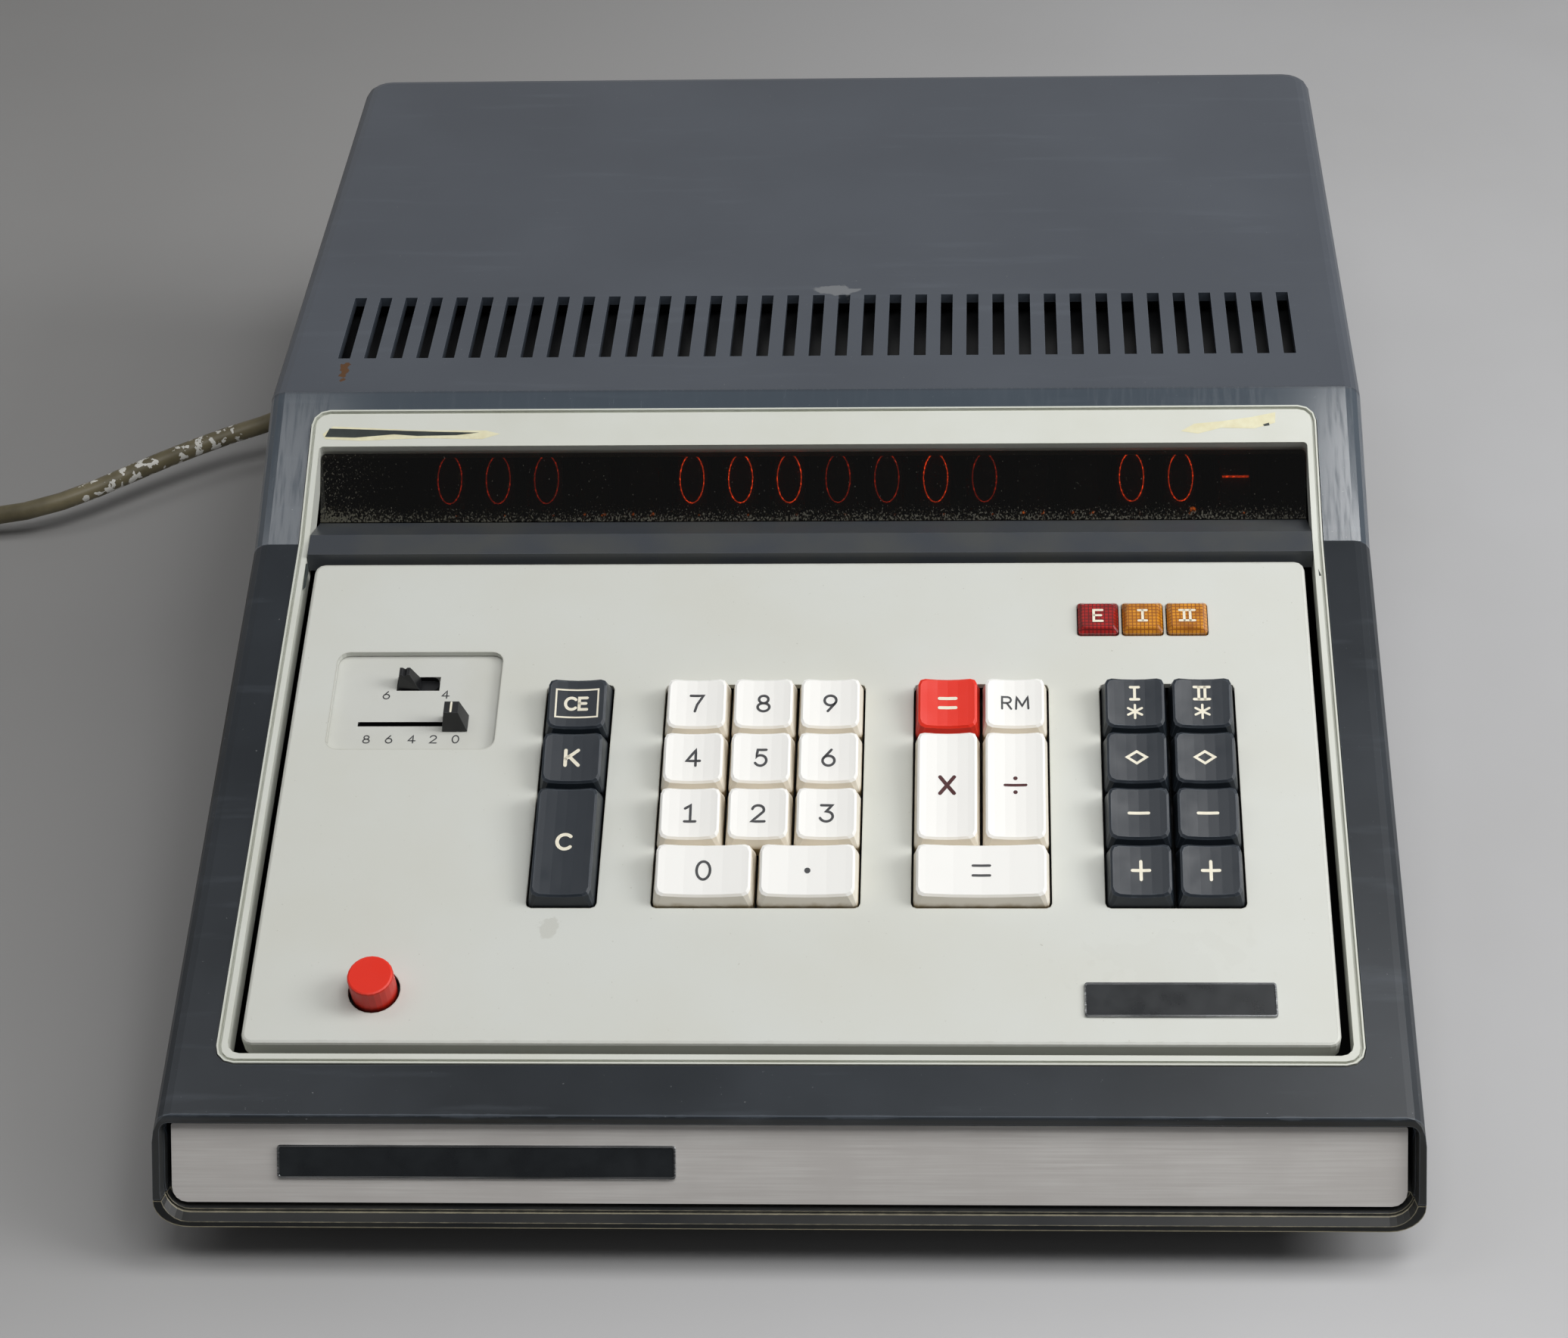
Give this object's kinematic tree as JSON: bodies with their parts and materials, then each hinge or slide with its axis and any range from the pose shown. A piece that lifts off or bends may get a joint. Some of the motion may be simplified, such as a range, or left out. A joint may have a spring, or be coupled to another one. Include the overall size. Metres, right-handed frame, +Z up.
{
  "type": "desk calculator",
  "caption": "Desk calculator with a slotted sloping case, glowing tube display, dished keys, slide switches and a mains lead.",
  "frame": {"origin": "on the table under the middle of the case's footprint, the free lead left out", "axes": "+X to the user's right along the case's width, +Y from the front strip to the rear, +Z up"},
  "size_m": [0.6023, 0.459, 0.112],
  "materials": {
    "cover_paint": "moulded shell in blue-grey, satin, glossier round the display",
    "pan_paint": "baked enamel on sheet steel, dark grey, semi-gloss",
    "satin_strip": "satin anodised strip, warm grey",
    "ivory_frame": "off-white moulded frame with a faint green cast",
    "grey_panel": "pale warm grey paint, satin",
    "charcoal_sill": "charcoal moulding, satin",
    "smoked_window": "smoked clear window, polished",
    "white_key": "double-shot cap, white top over a cream skirt",
    "navy_key": "moulded cap, dark blue-grey",
    "red_key": "moulded cap, bright red",
    "black_plastic": "moulded black plastic",
    "red_lens": "clear red moulded lens",
    "amber_lens": "clear amber moulded lens",
    "tube_glass": "glass envelopes with dark wire mesh inside",
    "circuit_board": "green glass-fibre board with dark components",
    "zinc_steel": "zinc-plated sheet steel",
    "transformer_iron": "varnished iron stack with its winding",
    "black_rubber": "moulded black rubber",
    "cord_jacket": "aged vinyl jacket, olive brown, with paint specks"
  },
  "bodies": {
    "case": {"upper_cover": "cover_paint", "lower_pan": "pan_paint", "front_strip": "satin_strip", "inner_frame": "ivory_frame", "keyboard_panel": "grey_panel", "switch_plate": "grey_panel", "push_switch_body": "black_plastic", "display_window": "smoked_window", "display_sill": "charcoal_sill", "display_tubes": "tube_glass", "lamp_lens_red": "red_lens", "lamp_lens_amber_1": "amber_lens", "lamp_lens_amber_2": "amber_lens", "lamp_holder": "black_plastic", "key_frame": "zinc_steel", "key_switch_board": "circuit_board", "chassis_left": "zinc_steel", "chassis_right": "zinc_steel", "vent_screen": "black_plastic", "logic_cards": "circuit_board", "power_transformer": "transformer_iron", "power_supply": "circuit_board", "foot_front_left": "black_rubber", "foot_front_right": "black_rubber", "foot_rear_left": "black_rubber", "foot_rear_right": "black_rubber", "strain_relief": "black_rubber", "cord_run": "cord_jacket", "cord_coil": "cord_jacket", "mains_plug": "black_rubber"},
    "key_7": {"key_7": "white_key"},
    "key_8": {"key_8": "white_key"},
    "key_9": {"key_9": "white_key"},
    "key_4": {"key_4": "white_key"},
    "key_5": {"key_5": "white_key"},
    "key_6": {"key_6": "white_key"},
    "key_1": {"key_1": "white_key"},
    "key_2": {"key_2": "white_key"},
    "key_3": {"key_3": "white_key"},
    "key_0": {"key_0": "white_key"},
    "key_point": {"key_point": "white_key"},
    "key_recall": {"key_recall": "white_key"},
    "key_multiply": {"key_multiply": "white_key"},
    "key_divide": {"key_divide": "white_key"},
    "key_equals": {"key_equals": "white_key"},
    "key_clear_entry": {"key_clear_entry": "navy_key"},
    "key_constant": {"key_constant": "navy_key"},
    "key_clear": {"key_clear": "navy_key"},
    "key_total_1": {"key_total_1": "navy_key"},
    "key_total_2": {"key_total_2": "navy_key"},
    "key_subtotal_1": {"key_subtotal_1": "navy_key"},
    "key_subtotal_2": {"key_subtotal_2": "navy_key"},
    "key_minus_1": {"key_minus_1": "navy_key"},
    "key_minus_2": {"key_minus_2": "navy_key"},
    "key_plus_1": {"key_plus_1": "navy_key"},
    "key_plus_2": {"key_plus_2": "navy_key"},
    "key_minus_equals": {"key_minus_equals": "red_key"},
    "red_button": {"red_button": "red_key"},
    "long_slider_knob": {"long_slider_knob": "black_plastic"},
    "short_slider_knob": {"short_slider_knob": "black_plastic"}
  },
  "joints": [
    {"name": "key_7_press", "type": "slide", "parent": "case", "child": "key_7", "axis": [0, 0.2538, -0.9673], "range_m": [0, 0.0035], "stiffness_N_per_m": 200, "springref_m": -0.003},
    {"name": "key_8_press", "type": "slide", "parent": "case", "child": "key_8", "axis": [0, 0.2538, -0.9673], "range_m": [0, 0.0035], "stiffness_N_per_m": 200, "springref_m": -0.003},
    {"name": "key_9_press", "type": "slide", "parent": "case", "child": "key_9", "axis": [0, 0.2538, -0.9673], "range_m": [0, 0.0035], "stiffness_N_per_m": 200, "springref_m": -0.003},
    {"name": "key_4_press", "type": "slide", "parent": "case", "child": "key_4", "axis": [0, 0.2538, -0.9673], "range_m": [0, 0.0035], "stiffness_N_per_m": 200, "springref_m": -0.003},
    {"name": "key_5_press", "type": "slide", "parent": "case", "child": "key_5", "axis": [0, 0.2538, -0.9673], "range_m": [0, 0.0035], "stiffness_N_per_m": 200, "springref_m": -0.003},
    {"name": "key_6_press", "type": "slide", "parent": "case", "child": "key_6", "axis": [0, 0.2538, -0.9673], "range_m": [0, 0.0035], "stiffness_N_per_m": 200, "springref_m": -0.003},
    {"name": "key_1_press", "type": "slide", "parent": "case", "child": "key_1", "axis": [0, 0.2538, -0.9673], "range_m": [0, 0.0035], "stiffness_N_per_m": 200, "springref_m": -0.003},
    {"name": "key_2_press", "type": "slide", "parent": "case", "child": "key_2", "axis": [0, 0.2538, -0.9673], "range_m": [0, 0.0035], "stiffness_N_per_m": 200, "springref_m": -0.003},
    {"name": "key_3_press", "type": "slide", "parent": "case", "child": "key_3", "axis": [0, 0.2538, -0.9673], "range_m": [0, 0.0035], "stiffness_N_per_m": 200, "springref_m": -0.003},
    {"name": "key_0_press", "type": "slide", "parent": "case", "child": "key_0", "axis": [0, 0.2538, -0.9673], "range_m": [0, 0.0035], "stiffness_N_per_m": 200, "springref_m": -0.003},
    {"name": "key_point_press", "type": "slide", "parent": "case", "child": "key_point", "axis": [0, 0.2538, -0.9673], "range_m": [0, 0.0035], "stiffness_N_per_m": 200, "springref_m": -0.003},
    {"name": "key_recall_press", "type": "slide", "parent": "case", "child": "key_recall", "axis": [0, 0.2538, -0.9673], "range_m": [0, 0.0035], "stiffness_N_per_m": 200, "springref_m": -0.003},
    {"name": "key_multiply_press", "type": "slide", "parent": "case", "child": "key_multiply", "axis": [0, 0.2538, -0.9673], "range_m": [0, 0.0035], "stiffness_N_per_m": 200, "springref_m": -0.003},
    {"name": "key_divide_press", "type": "slide", "parent": "case", "child": "key_divide", "axis": [0, 0.2538, -0.9673], "range_m": [0, 0.0035], "stiffness_N_per_m": 200, "springref_m": -0.003},
    {"name": "key_equals_press", "type": "slide", "parent": "case", "child": "key_equals", "axis": [0, 0.2538, -0.9673], "range_m": [0, 0.0035], "stiffness_N_per_m": 200, "springref_m": -0.003},
    {"name": "key_clear_entry_press", "type": "slide", "parent": "case", "child": "key_clear_entry", "axis": [0, 0.2538, -0.9673], "range_m": [0, 0.0035], "stiffness_N_per_m": 200, "springref_m": -0.003},
    {"name": "key_constant_press", "type": "slide", "parent": "case", "child": "key_constant", "axis": [0, 0.2538, -0.9673], "range_m": [0, 0.0035], "stiffness_N_per_m": 200, "springref_m": -0.003},
    {"name": "key_clear_press", "type": "slide", "parent": "case", "child": "key_clear", "axis": [0, 0.2538, -0.9673], "range_m": [0, 0.0035], "stiffness_N_per_m": 200, "springref_m": -0.003},
    {"name": "key_total_1_press", "type": "slide", "parent": "case", "child": "key_total_1", "axis": [0, 0.2538, -0.9673], "range_m": [0, 0.0035], "stiffness_N_per_m": 200, "springref_m": -0.003},
    {"name": "key_total_2_press", "type": "slide", "parent": "case", "child": "key_total_2", "axis": [0, 0.2538, -0.9673], "range_m": [0, 0.0035], "stiffness_N_per_m": 200, "springref_m": -0.003},
    {"name": "key_subtotal_1_press", "type": "slide", "parent": "case", "child": "key_subtotal_1", "axis": [0, 0.2538, -0.9673], "range_m": [0, 0.0035], "stiffness_N_per_m": 200, "springref_m": -0.003},
    {"name": "key_subtotal_2_press", "type": "slide", "parent": "case", "child": "key_subtotal_2", "axis": [0, 0.2538, -0.9673], "range_m": [0, 0.0035], "stiffness_N_per_m": 200, "springref_m": -0.003},
    {"name": "key_minus_1_press", "type": "slide", "parent": "case", "child": "key_minus_1", "axis": [0, 0.2538, -0.9673], "range_m": [0, 0.0035], "stiffness_N_per_m": 200, "springref_m": -0.003},
    {"name": "key_minus_2_press", "type": "slide", "parent": "case", "child": "key_minus_2", "axis": [0, 0.2538, -0.9673], "range_m": [0, 0.0035], "stiffness_N_per_m": 200, "springref_m": -0.003},
    {"name": "key_plus_1_press", "type": "slide", "parent": "case", "child": "key_plus_1", "axis": [0, 0.2538, -0.9673], "range_m": [0, 0.0035], "stiffness_N_per_m": 200, "springref_m": -0.003},
    {"name": "key_plus_2_press", "type": "slide", "parent": "case", "child": "key_plus_2", "axis": [0, 0.2538, -0.9673], "range_m": [0, 0.0035], "stiffness_N_per_m": 200, "springref_m": -0.003},
    {"name": "key_minus_equals_press", "type": "slide", "parent": "case", "child": "key_minus_equals", "axis": [0, 0.2538, -0.9673], "range_m": [0, 0.0035], "stiffness_N_per_m": 200, "springref_m": -0.003},
    {"name": "red_button_press", "type": "slide", "parent": "case", "child": "red_button", "axis": [0, 0.2538, -0.9673], "range_m": [0, 0.003], "stiffness_N_per_m": 250, "springref_m": -0.003},
    {"name": "long_slider_travel", "type": "slide", "parent": "case", "child": "long_slider_knob", "axis": [1, 0, 0], "range_m": [-0.0256, 0]},
    {"name": "short_slider_travel", "type": "slide", "parent": "case", "child": "short_slider_knob", "axis": [1, 0, 0], "range_m": [0, 0.0055]}
  ]
}
